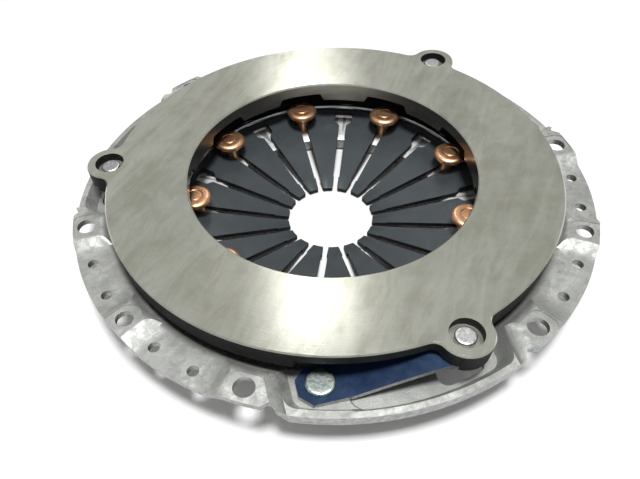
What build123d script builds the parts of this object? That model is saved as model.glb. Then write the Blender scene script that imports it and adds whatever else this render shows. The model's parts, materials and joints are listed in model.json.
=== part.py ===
"""Clutch cover assembly with a diaphragm spring, lying on its back with the friction face up.

Millimetres. Z runs along the axis towards the flywheel, and Z = 0 is the plane of the bolt pads.
The assembly is in its free state, as it is before it is bolted to a flywheel: the diaphragm
spring holds the pressure ring as far towards the flywheel as the leaf straps and rivets allow.
"""

import os
from math import asin, atan2, cos, degrees, radians, sin, tan

from build123d import *

os.makedirs("parts", exist_ok=True)

# Layout round the axis, in degrees: a pocket in the cover for each strap, three in all.
sector_count = 3
first_pocket_angle = -90
bolt_pad_offset = 30
lug_offset = 13.9
strap_rivet_offset = -16.1
fulcrum_count = 9

# Play between pieces that are riveted or stacked face to face.
seat_gap = 0.05
rivet_hole_play = 0.08

# Longer than any cut through the assembly has to be.
cut_reach = 60.0

# Pressure ring
ring_outer_radius = 108.0
friction_width = 38.6
friction_height = 10.3
ring_body_thickness = 9.2
ring_edge_chamfer = 0.6
ridge_width = 6.0
ridge_gap_width = 7.0
lug_reach = 1.5
lug_nose_radius = 11.2
lug_thickness = 7.3
lug_fillet = 5.0
lug_counterbore_radius = 7.0
lug_counterbore_depth = 4.0
head_pocket_margin = 2.3
head_pocket_corner = 7.0
head_pocket_draft = 30
head_clearance = 2.5
strap_recess_margin = 1.2
strap_recess_lip = 5.2
travel = 5.0

# Cover: flange and bolt pads
sheet_thickness = 3.0
ring_to_flange = 4.4
bolt_circle_from_ring = 12.0
bolt_edge_distance = 6.5
bolt_hole_radius = 4.5
dowel_hole_radius = 4.0
balance_hole_radius = 2.5
balance_hole_offsets = (9.0, 19.0)
land_drop = 2.9
middle_pad_half_angle = 5.8
outer_pad_half_angle = 6.6
pad_ramp_angle = 2.4
coin_depth = 0.35
coin_width = 12.5
coin_length = 15.0
coin_corner = 4.0

# Cover: strap pockets
pocket_rim_width = 6.1
pocket_rim_slope = 30
pocket_rim_drop = 3.5
pocket_wall_slope = 38
pocket_shoulder_slope = 66
pocket_shoulder_drop = 2.0
pocket_corner_radius = 6.0
rim_bend_radius = 4.2
strap_seat_rise = 1.0
corner_notch_half_angle = 1.9
corner_notch_depth = 3.2
corner_notch_round = 1.5
corner_notch_overrun = 1.0
lug_opening_margin = 4.5
lug_opening_outer_margin = 3.3
lug_opening_corner = 4.0

# Cover: bowl, back and central hole
bowl_bend_radius = 5.0
bowl_floor_bend_radius = 4.0
bowl_wall_slope = 45.0
back_ring_width = 9.7
cover_collar_depth = 6.75
cover_collar_round = 2.2
dish_margin = 1.1
finger_clearance = 1.9

# Diaphragm spring
spring_tip_radius = 22.2
spring_thickness = 2.0
spring_rise = 12.5
spring_rim_overhang = 2.5
spring_tip_chamfer = 0.4
pivot_height = -10.25
window_side_clearance = 1.3
window_outer_clearance = 2.1
window_neck_overlap = 0.2
window_funnel = 2.4
window_corner = 1.0
slot_outer_width = 4.0
slot_inner_width = 3.5
slot_step_length = 7.3
slot_step_width = 2.5
slot_mouth_width = 2.7

# Pivot rings
front_wire_radius = 1.35
rear_wire_radius = 1.9
pivot_head_overlap = 0.15

# Fulcrum rivets
fulcrum_from_bore = 0.7
fulcrum_head_radius = 8.45
fulcrum_head_thickness = 3.6
fulcrum_neck_radius = 3.7
fulcrum_tail_radius = 3.1
fulcrum_tail_head_radius = 5.2
fulcrum_tail_head_thickness = 2.0
fulcrum_mark_radius = 3.6
fulcrum_mark_depth = 0.35

# Leaf straps
leaf_count = 3
leaf_thickness = 0.75
strap_half_width = 8.8
strap_end_length = 9.6
strap_end_chamfer = 5.0
strap_inner_waist = 1.6
strap_outer_waist = 0.4
strap_bend_radius = 30.0
strap_flat_length = 10.5
strap_rim_clearance = 0.4
strap_wall_clearance = 2.3
strap_floor_clearance = 2.75
strap_spring_clearance = 2.0

# Strap rivets
strap_shank_radius = 4.0
cover_rivet_head_radius = 6.3
cover_rivet_head_thickness = 1.9
cover_rivet_tail_radius = 4.9
cover_rivet_tail_thickness = 2.2
lug_rivet_head_radius = 5.8
lug_rivet_head_thickness = 2.2
lug_rivet_end_radius = 4.5
lug_rivet_end_thickness = 2.4


def polar(radius, angle):
    """Point in plan at a radius and an angle in degrees."""
    return (radius * cos(radians(angle)), radius * sin(radians(angle)))


# Angles
pocket_angles = [first_pocket_angle + 360 / sector_count * i for i in range(sector_count)]
middle_pad_angles = [angle + 180 / sector_count for angle in pocket_angles]
fulcrum_angles = [middle_pad_angles[0] + 360 / fulcrum_count * i for i in range(fulcrum_count)]

# Radii of the cover and the lugs, from the ring outwards
ring_bore_radius = ring_outer_radius - friction_width
flange_inner_radius = ring_outer_radius + ring_to_flange
bolt_circle_radius = ring_outer_radius + bolt_circle_from_ring
flange_radius = bolt_circle_radius + bolt_edge_distance
pocket_floor_radius = flange_radius - pocket_rim_width
lug_circle_radius = ring_outer_radius + lug_reach

# The strap runs along a chord. Its outer shoulder just clears the rim of the pocket.
strap_tilt = radians(lug_offset - strap_rivet_offset) / 2
strap_shoulder = strap_end_length - strap_end_chamfer
strap_outer_reach = strap_half_width * cos(strap_tilt) + strap_shoulder * sin(strap_tilt)
strap_circle_radius = pocket_floor_radius - strap_rim_clearance - strap_outer_reach
strap_rivet_side = strap_circle_radius * sin(radians(strap_rivet_offset))
lug_side = lug_circle_radius * sin(radians(lug_offset))
pocket_half_width = strap_end_length + strap_wall_clearance - strap_rivet_side
strap_seat_end = strap_rivet_side + strap_flat_length
strap_mid_radius = (strap_circle_radius + lug_circle_radius) / 2 * cos(strap_tilt)
strap_inner_radius = strap_mid_radius - strap_half_width + strap_inner_waist

# Radii of the spring, its pivots and the back of the cover
spring_outer_radius = strap_inner_radius - strap_spring_clearance
ridge_radius = spring_outer_radius - spring_rim_overhang
fulcrum_circle_radius = ring_bore_radius - fulcrum_from_bore
pivot_radius = fulcrum_circle_radius + fulcrum_head_radius - pivot_head_overlap
window_width = 2 * (fulcrum_neck_radius + window_side_clearance)
window_inner_radius = fulcrum_circle_radius - fulcrum_neck_radius + window_neck_overlap
window_outer_radius = fulcrum_circle_radius + fulcrum_neck_radius + window_outer_clearance
slot_step_radius = spring_tip_radius + slot_step_length
cover_hole_radius = fulcrum_circle_radius - back_ring_width
dish_radius = fulcrum_circle_radius - fulcrum_tail_head_radius - dish_margin

# Heights of the spring and the fulcrum rivets
spring_slope = degrees(atan2(spring_rise, pivot_radius - spring_tip_radius))
wire_seat = spring_thickness / 2 + seat_gap
front_wire_height = pivot_height + (wire_seat + front_wire_radius) / cos(radians(spring_slope))
rear_wire_height = pivot_height - (wire_seat + rear_wire_radius) / cos(radians(spring_slope))
fulcrum_seat_height = front_wire_height + front_wire_radius + seat_gap
fulcrum_top = fulcrum_seat_height + fulcrum_head_thickness
back_height = rear_wire_height - rear_wire_radius - seat_gap

# Heights of the ring, the straps and the pockets
ring_underside = friction_height - ring_body_thickness
lug_underside = friction_height - lug_thickness
strap_pack_thickness = leaf_count * leaf_thickness + (leaf_count - 1) * seat_gap
strap_lug_top = lug_underside - seat_gap
lug_rivet_bottom = strap_lug_top - strap_pack_thickness - seat_gap - lug_rivet_head_thickness
pocket_depth = travel + strap_floor_clearance - lug_rivet_bottom
strap_seat_height = strap_seat_rise - pocket_depth
strap_cover_top = strap_seat_height + seat_gap + strap_pack_thickness


def spring_surface(radius, side):
    """Height of the spring's middle (side 0), top (side 1) or under surface (side -1)."""
    middle = pivot_height + (radius - pivot_radius) * tan(radians(spring_slope))
    return middle + side * spring_thickness / 2 / cos(radians(spring_slope))


dish_height = spring_surface(cover_hole_radius, -1) - finger_clearance
cover_bottom = dish_height - cover_collar_depth

# Plan of a pocket's side walls, which lean outwards and bend over into the pads
pocket_shoulder_width = (pocket_depth - pocket_shoulder_drop) * tan(radians(pocket_wall_slope))
pocket_top_half_width = (
    pocket_half_width
    + pocket_shoulder_width
    + pocket_shoulder_drop * tan(radians(pocket_shoulder_slope))
)
pocket_floor_angle = degrees(asin(pocket_half_width / flange_radius))
pocket_side_angle = degrees(asin(pocket_top_half_width / flange_radius))


def write(piece, name):
    """Label a finished piece and write its file."""
    piece.label = name
    export_step(piece, f"parts/{name}.step")


def place(radius, angle, height):
    """Plane across the axis at a height, centred on a polar place, with X pointing outwards."""
    return Plane(
        origin=(*polar(radius, angle), height),
        x_dir=(*polar(1, angle), 0),
        z_dir=(0, 0, 1),
    )


# Cover. The pressed sheet is what lies between its flywheel face and the same form one sheet
# thickness further back, so formed_block(depth) makes the solid that fills everything behind
# the face at that depth, and the cover is the difference of two such solids.


def bowl_space(depth, rim_height):
    """Section of the open space above the sheet: bowl, central hole and the air over the flange."""
    wall_run = (rim_height - back_height) / tan(radians(bowl_wall_slope))
    pad_run = -back_height / tan(radians(bowl_wall_slope))
    floor_radius = flange_inner_radius - pad_run
    rim_radius = floor_radius + wall_run
    with BuildSketch(Plane.XZ) as space:
        Polygon(
            (0, -cut_reach),
            (cover_hole_radius, -cut_reach),
            (cover_hole_radius, dish_height),
            (dish_radius, back_height),
            (floor_radius, back_height),
            (rim_radius, rim_height),
            (flange_radius + cut_reach, rim_height),
            (flange_radius + cut_reach, cut_reach),
            (0, cut_reach),
            align=None,
        )
        corners = space.vertices()
        fillet(corners.sort_by_distance((rim_radius, 0, rim_height))[0], bowl_bend_radius)
        fillet(corners.sort_by_distance((floor_radius, 0, back_height))[0], bowl_floor_bend_radius)
        lip = (cover_hole_radius, 0, dish_height)
        fillet(corners.sort_by_distance(lip)[0], bowl_bend_radius)
        if depth > 0:
            offset(amount=depth, kind=Kind.ARC)
            with Locations((-cut_reach, 0)):
                Rectangle(2 * cut_reach, 4 * cut_reach, mode=Mode.SUBTRACT)
    return space.sketch


def pad_outline(start_angle, end_angle):
    """Plan of a bolt pad between two angles, running from inside the bowl past the flange."""
    with BuildSketch() as outline:
        Polygon(
            polar(ring_bore_radius, start_angle),
            polar(flange_radius + bolt_edge_distance, start_angle),
            polar(flange_radius + bolt_edge_distance, end_angle),
            polar(ring_bore_radius, end_angle),
            align=None,
        )
    return outline.sketch


def pocket_outline(half_width, start, end_radius):
    """Plan of a strap pocket from the tangential place start, round the X axis."""
    with BuildSketch() as outline:
        Circle(end_radius)
        with Locations((ring_bore_radius, start)):
            Rectangle(end_radius, half_width - start, align=Align.MIN, mode=Mode.INTERSECT)
        outer = outline.vertices().sort_by(Axis.X)[-2:]
        fillet(outer, pocket_corner_radius)
    return outline.sketch


def pocket_space(depth, floor, start):
    """Open space of a strap pocket above its floor, round the X axis, for the face at a depth."""
    wall = radians(90 - pocket_wall_slope)
    shoulder = radians(90 - pocket_shoulder_slope)
    far = flange_radius + cut_reach
    wall_shift = depth * tan(wall / 2)
    bend_shift = depth * (sin(wall) + sin(shoulder)) / (1 + cos(wall - shoulder))
    bend_drop = depth * (cos(wall) + cos(shoulder)) / (1 + cos(wall - shoulder))
    rim_rise = -pocket_rim_drop - floor
    rim_grown = rim_rise / tan(wall)
    bend_grown = (-pocket_shoulder_drop - floor) / tan(wall) + bend_shift
    top_grown = bend_grown + (pocket_shoulder_drop + bend_drop) / tan(shoulder)
    lean = rim_rise * tan(radians(pocket_rim_slope)) if depth == 0 else 0
    floor_radius = pocket_floor_radius if depth == 0 else far
    levels = [
        (floor - depth, wall_shift, floor_radius),
        (-pocket_rim_drop - depth, wall_shift + rim_grown, floor_radius + lean),
        (-pocket_rim_drop - depth, wall_shift + rim_grown, far),
        (-pocket_shoulder_drop - bend_drop, bend_grown, far),
        (0, top_grown, far),
    ]
    with BuildPart() as space:
        for low, high in ((0, 1), (2, 3), (3, 4)):
            for height, grown, end_radius in (levels[low], levels[high]):
                with BuildSketch(Plane.XY.offset(height)):
                    half_width = pocket_half_width + grown
                    add(pocket_outline(half_width, start - grown, end_radius))
            loft(ruled=True)
    return space.part


def formed_block(depth):
    """Everything behind the flywheel face of the sheet, moved back by depth."""
    ramp_angle = degrees(atan2(land_drop, bolt_circle_radius * radians(pad_ramp_angle)))
    pad_shift = degrees(depth * tan(radians(ramp_angle) / 2) / bolt_circle_radius)
    foot = middle_pad_half_angle - pad_shift
    crown = foot - pad_ramp_angle
    outer_foot = outer_pad_half_angle - pad_shift
    outer_crown = outer_foot - pad_ramp_angle
    inner_side = bolt_pad_offset - pocket_floor_angle

    with BuildPart() as lands:
        with BuildSketch():
            Circle(flange_radius)
        extrude(amount=-cut_reach)
        with BuildSketch(Plane.XZ):
            add(bowl_space(depth, -land_drop))
        revolve(axis=Axis.Z, mode=Mode.SUBTRACT)

    with BuildPart() as pads:
        for middle in middle_pad_angles:
            with BuildSketch(Plane.XY.offset(-land_drop - depth)):
                add(pad_outline(middle - foot, middle + foot))
            with BuildSketch(Plane.XY.offset(-depth)):
                add(pad_outline(middle - crown, middle + crown))
            loft(ruled=True)
        for pocket in pocket_angles:
            for side in (-1, 1):
                centre = pocket + side * bolt_pad_offset
                with BuildSketch(Plane.XY.offset(-land_drop - depth)):
                    add(pad_outline(centre - side * inner_side, centre + side * outer_foot))
                with BuildSketch(Plane.XY.offset(-depth)):
                    add(pad_outline(centre - side * inner_side, centre + side * outer_crown))
                loft(ruled=True)
        with BuildSketch(Plane.XY.offset(-land_drop - depth)):
            Circle(flange_radius)
        extrude(amount=land_drop, mode=Mode.INTERSECT)
        with BuildSketch(Plane.XZ):
            add(bowl_space(depth, 0))
        revolve(axis=Axis.Z, mode=Mode.SUBTRACT)

    with BuildPart() as formed:
        add(lands.part)
        add(pads.part)
        for floor, start in (
            (strap_seat_height, -pocket_half_width),
            (-pocket_depth, strap_seat_end),
        ):
            with PolarLocations(0, sector_count, start_angle=first_pocket_angle):
                add(pocket_space(depth, floor, start), mode=Mode.SUBTRACT)
    return formed.part


with BuildPart() as cover:
    add(formed_block(0))
    add(formed_block(sheet_thickness), mode=Mode.SUBTRACT)

    # The collar round the central hole ends here, and its inner edge is rolled round.
    with BuildSketch(Plane.XY.offset(cover_bottom)):
        Circle(flange_radius)
    extrude(amount=-cut_reach, mode=Mode.SUBTRACT)
    collar_edge = cover.edges().group_by(Axis.Z)[0].sort_by(SortBy.LENGTH)[0]
    fillet(collar_edge, cover_collar_round)

    # The rim outside each pocket is bent up, with a round outer corner.
    pocket_bottom = -pocket_depth - sheet_thickness
    with BuildSketch(Plane.XZ):
        with Locations((flange_radius, pocket_bottom)):
            Rectangle(2 * rim_bend_radius, 2 * rim_bend_radius)
        with Locations((flange_radius - rim_bend_radius, pocket_bottom + rim_bend_radius)):
            Circle(rim_bend_radius, mode=Mode.SUBTRACT)
    revolve(axis=Axis.Z, mode=Mode.SUBTRACT)

    # Notches clip the pad corners where the flange turns down into a pocket.
    with BuildSketch(Plane.XY.offset(-cut_reach)):
        for pocket in pocket_angles:
            for side in (-1, 1):
                corner = pocket + side * pocket_side_angle
                with BuildSketch(mode=Mode.PRIVATE) as notch:
                    Polygon(
                        polar(flange_radius + corner_notch_overrun, corner - corner_notch_half_angle),
                        polar(flange_radius - corner_notch_depth, corner),
                        polar(flange_radius + corner_notch_overrun, corner + corner_notch_half_angle),
                        align=None,
                    )
                    root = (*polar(flange_radius - corner_notch_depth, corner), 0)
                    fillet(notch.vertices().sort_by_distance(root)[0], corner_notch_round)
                add(notch.sketch)
    extrude(amount=2 * cut_reach, mode=Mode.SUBTRACT)

    # Openings in the pocket floors under the lugs, for the heads of the lug rivets.
    opening_half_width = lug_rivet_head_radius + lug_opening_margin
    with BuildSketch(mode=Mode.PRIVATE) as lug_opening:
        Circle(lug_circle_radius + lug_rivet_head_radius + lug_opening_outer_margin)
        with Locations((lug_circle_radius - opening_half_width, lug_side - opening_half_width)):
            Rectangle(cut_reach, 2 * opening_half_width, align=Align.MIN, mode=Mode.INTERSECT)
        fillet(lug_opening.vertices(), lug_opening_corner)
    with BuildSketch(Plane.XY.offset(-cut_reach)):
        with PolarLocations(0, sector_count, start_angle=first_pocket_angle):
            add(lug_opening.sketch)
    extrude(amount=2 * cut_reach, mode=Mode.SUBTRACT)

    # Coined seats round the bolt and dowel holes.
    coin_inner_radius = bolt_circle_radius - coin_length / 2
    with BuildSketch(Plane.XY.offset(-coin_depth)):
        with PolarLocations(coin_inner_radius, sector_count, start_angle=middle_pad_angles[0]):
            SlotOverall(2 * coin_length, coin_width, align=(Align.MIN, Align.CENTER))
        for side in (-1, 1):
            start = first_pocket_angle + side * bolt_pad_offset
            with PolarLocations(bolt_circle_radius, sector_count, start_angle=start):
                RectangleRounded(coin_width, coin_length, coin_corner)
    extrude(amount=coin_depth, mode=Mode.SUBTRACT)

    # Holes in the flange, the pockets and the back.
    for side in (-1, 1):
        start = first_pocket_angle + side * bolt_pad_offset
        with PolarLocations(bolt_circle_radius, sector_count, start_angle=start):
            Hole(bolt_hole_radius, depth=cut_reach)
        for offset_angle in balance_hole_offsets:
            start = middle_pad_angles[0] + side * offset_angle
            with PolarLocations(bolt_circle_radius, sector_count, start_angle=start):
                Hole(balance_hole_radius, depth=cut_reach)
    with PolarLocations(bolt_circle_radius, sector_count, start_angle=middle_pad_angles[0]):
        Hole(dowel_hole_radius, depth=cut_reach)
    start = first_pocket_angle + strap_rivet_offset
    with PolarLocations(strap_circle_radius, sector_count, start_angle=start):
        Hole(strap_shank_radius + rivet_hole_play, depth=cut_reach)
    with PolarLocations(fulcrum_circle_radius, fulcrum_count, start_angle=fulcrum_angles[0]):
        Hole(fulcrum_tail_radius + rivet_hole_play, depth=cut_reach)

write(cover.part, "cover")

def strap_outline(length):
    """Plan of a leaf between rivet centres on the X axis, with clipped ends and a waist."""
    nib = strap_half_width - strap_end_chamfer
    with BuildSketch() as outline:
        with BuildLine():
            ThreePointArc(
                (-strap_shoulder, -strap_half_width),
                (length / 2, -strap_half_width + strap_outer_waist),
                (length + strap_shoulder, -strap_half_width),
            )
            Polyline(
                (length + strap_shoulder, -strap_half_width),
                (length + strap_end_length, -nib),
                (length + strap_end_length, nib),
                (length + strap_shoulder, strap_half_width),
            )
            ThreePointArc(
                (length + strap_shoulder, strap_half_width),
                (length / 2, strap_half_width - strap_inner_waist),
                (-strap_shoulder, strap_half_width),
            )
            Polyline(
                (-strap_shoulder, strap_half_width),
                (-strap_end_length, nib),
                (-strap_end_length, -nib),
                (-strap_shoulder, -strap_half_width),
            )
        make_face()
    return outline.sketch


# Plan of a strap whose pocket is centred on the X axis
strap_start = Vector(*polar(strap_circle_radius, strap_rivet_offset), 0)
strap_end = Vector(*polar(lug_circle_radius, lug_offset), 0)
strap_span = (strap_end - strap_start).length
strap_angle = degrees(atan2(strap_end.Y - strap_start.Y, strap_end.X - strap_start.X))
strap_place = Location(strap_start, strap_angle)

# Pressure ring
with BuildPart() as pressure_ring:
    lug_start = first_pocket_angle + lug_offset
    with BuildSketch(Plane.XY.offset(friction_height)) as ring_plan:
        Circle(ring_outer_radius)
        with PolarLocations(lug_circle_radius, sector_count, start_angle=lug_start):
            Circle(lug_nose_radius)
        fillet(ring_plan.vertices(), lug_fillet)
        Circle(ring_bore_radius, mode=Mode.SUBTRACT)
    extrude(amount=-ring_body_thickness)
    face_edges = pressure_ring.edges().group_by(Axis.Z)[-1]
    chamfer(face_edges, ring_edge_chamfer)

    # Ridge on the back, which rests on the rim of the diaphragm spring.
    crown = ridge_width / 2
    crown_height = spring_surface(ridge_radius, 1) + (crown + seat_gap) / cos(radians(spring_slope))
    with BuildSketch(Plane.XZ):
        with Locations((ridge_radius, crown_height)):
            Circle(crown)
            Rectangle(ridge_width, ring_underside - crown_height, align=(Align.CENTER, Align.MIN))
    revolve(axis=Axis.Z)
    with BuildSketch(Plane.XY.offset(ring_underside)):
        start = fulcrum_angles[0] + 180 / fulcrum_count
        with PolarLocations(ridge_radius, fulcrum_count, start_angle=start):
            Rectangle(2 * ridge_width, ridge_gap_width)
    extrude(amount=-cut_reach, mode=Mode.SUBTRACT)

    # Pockets in the bore's lower edge, which the rivet heads enter as the ring goes back.
    pocket_roof = fulcrum_top + travel + head_clearance
    head_pocket_half_width = fulcrum_head_radius + head_pocket_margin
    head_pocket_outer = fulcrum_circle_radius + head_pocket_half_width
    with BuildSketch(mode=Mode.PRIVATE) as head_pocket:
        Rectangle(head_pocket_outer, 2 * head_pocket_half_width, align=(Align.MIN, Align.CENTER))
        fillet(head_pocket.vertices().sort_by(Axis.X)[-2:], head_pocket_corner)
    with BuildSketch(Plane.XY.offset(pocket_roof)):
        with PolarLocations(0, fulcrum_count, start_angle=fulcrum_angles[0]):
            add(head_pocket.sketch)
    extrude(amount=ring_underside - pocket_roof, taper=-head_pocket_draft, mode=Mode.SUBTRACT)

    # Recess over each strap, up to a lip under the friction face, and less deep at the lug.
    with BuildSketch(mode=Mode.PRIVATE) as strap_channel:
        with Locations(strap_place):
            add(strap_outline(strap_span))
        offset(amount=strap_recess_margin)
        Circle(strap_inner_radius - strap_recess_margin, mode=Mode.SUBTRACT)
    with BuildSketch(mode=Mode.PRIVATE) as lug_foot:
        with Locations(Location((0, 0), lug_offset)):
            with Locations((lug_circle_radius, 0)):
                Circle(lug_nose_radius)
                Rectangle(lug_circle_radius, 2 * lug_nose_radius, align=(Align.MAX, Align.CENTER))
    for height, kept in ((lug_underside, None), (friction_height - strap_recess_lip, lug_foot)):
        with BuildSketch(Plane.XY.offset(height)):
            with PolarLocations(0, sector_count, start_angle=first_pocket_angle):
                add(strap_channel.sketch)
                if kept:
                    add(kept.sketch, mode=Mode.SUBTRACT)
        extrude(amount=-cut_reach, mode=Mode.SUBTRACT)

    # Rivet holes through the lugs, counterbored from the friction face.
    with BuildSketch(Plane.XY.offset(friction_height)):
        with PolarLocations(lug_circle_radius, sector_count, start_angle=lug_start):
            Circle(lug_counterbore_radius)
    extrude(amount=-lug_counterbore_depth, mode=Mode.SUBTRACT)
    with BuildSketch(Plane.XY.offset(friction_height)):
        with PolarLocations(lug_circle_radius, sector_count, start_angle=lug_start):
            Circle(strap_shank_radius + rivet_hole_play)
    extrude(amount=-lug_thickness, mode=Mode.SUBTRACT)

write(pressure_ring.part, "pressure_ring")

# Diaphragm spring
with BuildPart() as diaphragm_spring:
    with BuildSketch(Plane.XZ) as spring_section:
        Polygon(
            (spring_tip_radius, spring_surface(spring_tip_radius, -1)),
            (spring_outer_radius, spring_surface(spring_outer_radius, -1)),
            (spring_outer_radius, spring_surface(spring_outer_radius, 1)),
            (spring_tip_radius, spring_surface(spring_tip_radius, 1)),
            align=None,
        )
        fillet(spring_section.vertices(), spring_thickness / 5)
    revolve(axis=Axis.Z)

    # Each slot opens into a window at its outer end. Between the fingertips, whose corners are
    # clipped, it steps to a narrower mouth.
    tip_gap = slot_mouth_width / 2
    finger_gap = [
        (spring_tip_radius - spring_tip_chamfer, tip_gap + 2 * spring_tip_chamfer),
        (spring_tip_radius + spring_tip_chamfer, tip_gap),
        (slot_step_radius, slot_step_width / 2),
        (slot_step_radius, slot_inner_width / 2),
        (window_inner_radius, slot_outer_width / 2),
        (window_inner_radius + window_funnel, window_width / 2),
        (window_outer_radius, window_width / 2),
    ]
    with BuildSketch(mode=Mode.PRIVATE) as slot:
        Polygon(
            *finger_gap,
            *[(x, -y) for x, y in reversed(finger_gap)],
            align=None,
        )
        fillet(slot.vertices().sort_by(Axis.X)[-4:], window_corner)
    with BuildSketch(Plane.XY.offset(-cut_reach)):
        with PolarLocations(0, 2 * fulcrum_count, start_angle=fulcrum_angles[0]):
            add(slot.sketch)
    extrude(amount=2 * cut_reach, mode=Mode.SUBTRACT)

write(diaphragm_spring.part, "diaphragm_spring")

# Pivot rings
with BuildPart() as front_pivot_ring:
    with Locations((0, 0, front_wire_height)):
        Torus(pivot_radius, front_wire_radius)

write(front_pivot_ring.part, "front_pivot_ring")

with BuildPart() as rear_pivot_ring:
    with Locations((0, 0, rear_wire_height)):
        Torus(pivot_radius, rear_wire_radius)

write(rear_pivot_ring.part, "rear_pivot_ring")

# Fulcrum rivets: a domed head, a neck between the fingers and a tail through the cover.
for number, angle in enumerate(fulcrum_angles, start=1):
    with BuildPart() as fulcrum_rivet:
        with BuildSketch(place(fulcrum_circle_radius, angle, fulcrum_seat_height)):
            Circle(fulcrum_head_radius)
        extrude(amount=fulcrum_head_thickness)
        top_edge = fulcrum_rivet.edges().sort_by(Axis.Z)[-1]
        fillet(top_edge, fulcrum_head_thickness * 0.45)
        under_edge = fulcrum_rivet.edges().sort_by(Axis.Z)[0]
        fillet(under_edge, fulcrum_head_thickness * 0.3)
        with BuildSketch(place(fulcrum_circle_radius, angle, fulcrum_top)):
            Circle(fulcrum_mark_radius)
        extrude(amount=-fulcrum_mark_depth, mode=Mode.SUBTRACT)
        with BuildSketch(place(fulcrum_circle_radius, angle, fulcrum_seat_height)):
            Circle(fulcrum_neck_radius)
        extrude(amount=back_height + seat_gap - fulcrum_seat_height)
        tail_end = back_height - sheet_thickness - seat_gap
        with BuildSketch(place(fulcrum_circle_radius, angle, back_height + seat_gap)):
            Circle(fulcrum_tail_radius)
        extrude(amount=tail_end - back_height - seat_gap)
        with BuildSketch(place(fulcrum_circle_radius, angle, tail_end)):
            Circle(fulcrum_tail_head_radius)
        extrude(amount=-fulcrum_tail_head_thickness)
        tail_edge = fulcrum_rivet.edges().sort_by(Axis.Z)[0]
        fillet(tail_edge, fulcrum_tail_head_thickness / 2)
    write(fulcrum_rivet.part, f"fulcrum_rivet_{number}")

# Straps. Each is a pack of leaves from a rivet in a pocket of the cover to a lug of the ring.
for group, pocket in enumerate(pocket_angles, start=1):
    cover_end = Vector(*polar(strap_circle_radius, pocket + strap_rivet_offset), 0)
    lug_end = Vector(*polar(lug_circle_radius, pocket + lug_offset), 0)
    span = (lug_end - cover_end).length
    along = (lug_end - cover_end).normalized()
    plan = Plane(origin=cover_end, x_dir=along, z_dir=(0, 0, 1))
    side_view = Plane(origin=cover_end, x_dir=along, z_dir=along.cross(Vector(0, 0, 1)))
    cover_level = strap_cover_top - strap_pack_thickness
    lug_level = strap_lug_top - strap_pack_thickness
    for leaf_number in range(1, leaf_count + 1):
        below = leaf_count - leaf_number
        rise = below * (leaf_thickness + seat_gap) + leaf_thickness / 2
        with BuildPart() as strap_leaf:
            with BuildSketch(side_view):
                with BuildLine() as bend:
                    FilletPolyline(
                        (-2 * strap_end_length, cover_level + rise),
                        (strap_flat_length, cover_level + rise),
                        (span - strap_flat_length, lug_level + rise),
                        (span + 2 * strap_end_length, lug_level + rise),
                        radius=strap_bend_radius,
                    )
                trace(bend.line, line_width=leaf_thickness)
            extrude(amount=2 * strap_half_width, both=True)
            with BuildSketch(plan.offset(-cut_reach)):
                add(strap_outline(span))
                with Locations((0, 0), (span, 0)):
                    Circle(strap_shank_radius + rivet_hole_play, mode=Mode.SUBTRACT)
            extrude(amount=2 * cut_reach, mode=Mode.INTERSECT)
        write(strap_leaf.part, f"strap_{group}_leaf_{leaf_number}")

    with BuildPart() as cover_strap_rivet:
        head_seat = strap_cover_top + seat_gap
        tail_seat = strap_seat_height - sheet_thickness - seat_gap
        angle = pocket + strap_rivet_offset
        with BuildSketch(place(strap_circle_radius, angle, head_seat)):
            Circle(cover_rivet_head_radius)
        extrude(amount=cover_rivet_head_thickness)
        top_edge = cover_strap_rivet.edges().sort_by(Axis.Z)[-1]
        chamfer(top_edge, cover_rivet_head_thickness / 3)
        with BuildSketch(place(strap_circle_radius, angle, head_seat)):
            Circle(strap_shank_radius)
        extrude(amount=tail_seat - head_seat)
        with BuildSketch(place(strap_circle_radius, angle, tail_seat)):
            Circle(cover_rivet_tail_radius)
        extrude(amount=-cover_rivet_tail_thickness)
        tail_edge = cover_strap_rivet.edges().sort_by(Axis.Z)[0]
        fillet(tail_edge, cover_rivet_tail_thickness * 0.6)
    write(cover_strap_rivet.part, f"cover_strap_rivet_{group}")

    with BuildPart() as lug_strap_rivet:
        end_seat = friction_height - lug_counterbore_depth + seat_gap
        head_seat = lug_level - seat_gap
        angle = pocket + lug_offset
        with BuildSketch(place(lug_circle_radius, angle, end_seat)):
            Circle(lug_rivet_end_radius)
        extrude(amount=lug_rivet_end_thickness)
        end_edge = lug_strap_rivet.edges().sort_by(Axis.Z)[-1]
        fillet(end_edge, lug_rivet_end_thickness / 4)
        with BuildSketch(place(lug_circle_radius, angle, end_seat)):
            Circle(strap_shank_radius)
        extrude(amount=head_seat - end_seat)
        with BuildSketch(place(lug_circle_radius, angle, head_seat)):
            Circle(lug_rivet_head_radius)
        extrude(amount=-lug_rivet_head_thickness)
        head_edge = lug_strap_rivet.edges().sort_by(Axis.Z)[0]
        fillet(head_edge, lug_rivet_head_thickness * 0.6)
    write(lug_strap_rivet.part, f"lug_strap_rivet_{group}")
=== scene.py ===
"""Clutch pressure plate on its back, friction face up. Metres, in the frame of the CAD model."""

import json
from math import cos, pi, radians, sin

import bmesh
import bpy
from mathutils import Matrix, Vector


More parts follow.
